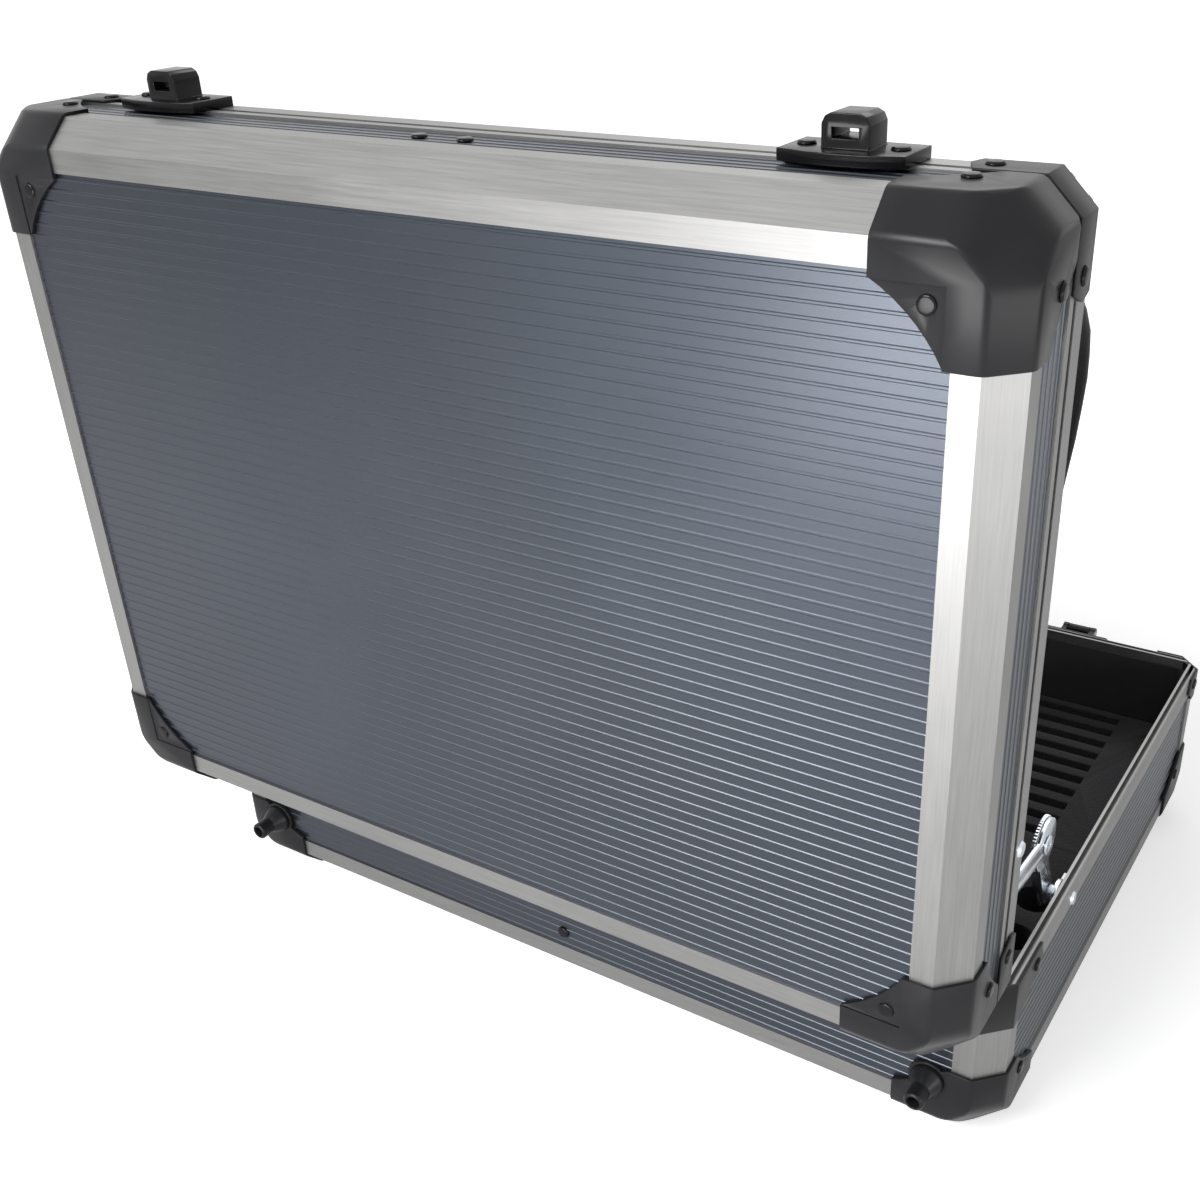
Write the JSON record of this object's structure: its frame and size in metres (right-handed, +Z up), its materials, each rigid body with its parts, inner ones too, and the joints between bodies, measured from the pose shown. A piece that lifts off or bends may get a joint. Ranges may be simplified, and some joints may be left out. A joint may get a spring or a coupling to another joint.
{
  "type": "tool case",
  "caption": "hinged hard tool case with ribbed panels, aluminium edge profiles, black corner caps, hasp latches with slide bolts, drop handle, folding lid stays and cut foam",
  "frame": {"origin": "under the middle of the open case's outline, at the level of the caps it rests on", "axes": "+X across the width, -Y the front with latches and handle, +Y the hinge side, +Z up"},
  "size_m": [0.46, 0.4132, 0.4337],
  "materials": {
    "black_plastic": "satin black moulding",
    "foam": "open-cell dark foam",
    "lining_fabric": "black lining cloth",
    "seal_rubber": "black rubber",
    "grip_plastic": "satin black",
    "ribbed_panel": "blue-grey ribbed sheet",
    "aluminium_profile": "brushed",
    "black_steel": "black coated pressed steel",
    "zinc_steel": "bright zinc plated"
  },
  "bodies": {
    "base": {"base_bottom_panel": "ribbed_panel", "base_front_panel": "ribbed_panel", "base_rear_panel": "ribbed_panel", "base_side_panels": "ribbed_panel", "base_edge_rails_long": "aluminium_profile", "base_edge_rails_short": "aluminium_profile", "base_corner_posts": "aluminium_profile", "base_rim_long": "aluminium_profile", "base_rim_short": "aluminium_profile", "base_rim_corners": "black_plastic", "base_front_caps": "black_plastic", "base_rear_caps": "black_plastic", "rear_feet": "black_plastic", "base_lining": "lining_fabric", "foam_floor": "foam", "foam_slots": "foam", "foam_tray": "foam", "base_rivets": "black_plastic", "stay_base_brackets": "zinc_steel", "stay_base_rivets": "aluminium_profile", "hinge_base_leaf": "aluminium_profile", "hinge_pin": "zinc_steel", "latch_plates": "black_steel", "latch_pins": "zinc_steel", "handle_brackets": "black_plastic", "handle_pins": "zinc_steel"},
    "lid": {"lid_top_panel": "ribbed_panel", "lid_front_panel": "ribbed_panel", "lid_rear_panel": "ribbed_panel", "lid_side_panels": "ribbed_panel", "lid_edge_rails_long": "aluminium_profile", "lid_edge_rails_short": "aluminium_profile", "lid_corner_posts": "aluminium_profile", "lid_rim_long": "aluminium_profile", "lid_rim_short": "aluminium_profile", "lid_seal": "seal_rubber", "lid_rim_corners": "black_plastic", "lid_corner_caps": "black_plastic", "hasp_towers": "black_plastic", "lid_rivets": "black_plastic", "lid_lining": "lining_fabric", "lid_pocket": "lining_fabric", "hinge_lid_leaf": "aluminium_profile", "stay_lid_brackets": "zinc_steel", "stay_lid_rivets": "aluminium_profile"},
    "latch_flap_left": {"latch_flap_left": "black_steel"},
    "latch_flap_right": {"latch_flap_right": "black_steel"},
    "latch_slide_left": {"latch_slide_left": "black_plastic"},
    "latch_slide_right": {"latch_slide_right": "black_plastic"},
    "handle": {"handle_bail": "zinc_steel", "handle_grip": "grip_plastic"},
    "stay_lower_left": {"stay_lower_arm_left": "zinc_steel", "stay_knuckle_left": "zinc_steel"},
    "stay_lower_right": {"stay_lower_arm_right": "zinc_steel", "stay_knuckle_right": "zinc_steel"},
    "stay_upper_left": {"stay_upper_arm_left": "zinc_steel"},
    "stay_upper_right": {"stay_upper_arm_right": "zinc_steel"}
  },
  "joints": [
    {"name": "lid_hinge", "type": "hinge", "parent": "base", "child": "lid", "pos_m": [0, 0.14244, 0.0916], "axis": [1, 0, 0], "range_deg": [0, 91]},
    {"name": "latch_flap_left_hinge", "type": "hinge", "parent": "base", "child": "latch_flap_left", "pos_m": [-0.1535, -0.19506, 0.0874], "axis": [-1, 0, 0], "range_deg": [0, 180]},
    {"name": "latch_slide_left_travel", "type": "slide", "parent": "latch_flap_left", "child": "latch_slide_left", "axis": [0, 0, 1], "range_m": [0, 0.013]},
    {"name": "stay_lower_left_pivot", "type": "hinge", "parent": "base", "child": "stay_lower_left", "pos_m": [-0.2145, 0.05124, 0.0809], "axis": [1, 0, 0], "range_deg": [0, 91]},
    {"name": "stay_upper_left_pivot", "type": "hinge", "parent": "lid", "child": "stay_upper_left", "pos_m": [-0.2165, 0.16306, 0.13275], "axis": [1, 0, 0], "range_deg": [-91, 0]},
    {"name": "latch_flap_right_hinge", "type": "hinge", "parent": "base", "child": "latch_flap_right", "pos_m": [0.1535, -0.19506, 0.0874], "axis": [-1, 0, 0], "range_deg": [0, 180]},
    {"name": "latch_slide_right_travel", "type": "slide", "parent": "latch_flap_right", "child": "latch_slide_right", "axis": [0, 0, 1], "range_m": [0, 0.013]},
    {"name": "stay_lower_right_pivot", "type": "hinge", "parent": "base", "child": "stay_lower_right", "pos_m": [0.2145, 0.05124, 0.0809], "axis": [1, 0, 0], "range_deg": [0, 91]},
    {"name": "stay_upper_right_pivot", "type": "hinge", "parent": "lid", "child": "stay_upper_right", "pos_m": [0.2165, 0.16306, 0.13275], "axis": [1, 0, 0], "range_deg": [-91, 0]},
    {"name": "handle_swing", "type": "hinge", "parent": "base", "child": "handle", "pos_m": [0, -0.19706, 0.0634], "axis": [-1, 0, 0], "range_deg": [0, 110]}
  ],
  "couplings": [
    {"joint": "stay_lower_left_pivot", "follows": "lid_hinge", "ratio": 1},
    {"joint": "stay_upper_left_pivot", "follows": "lid_hinge", "ratio": -1},
    {"joint": "stay_lower_right_pivot", "follows": "lid_hinge", "ratio": 1},
    {"joint": "stay_upper_right_pivot", "follows": "lid_hinge", "ratio": -1}
  ]
}
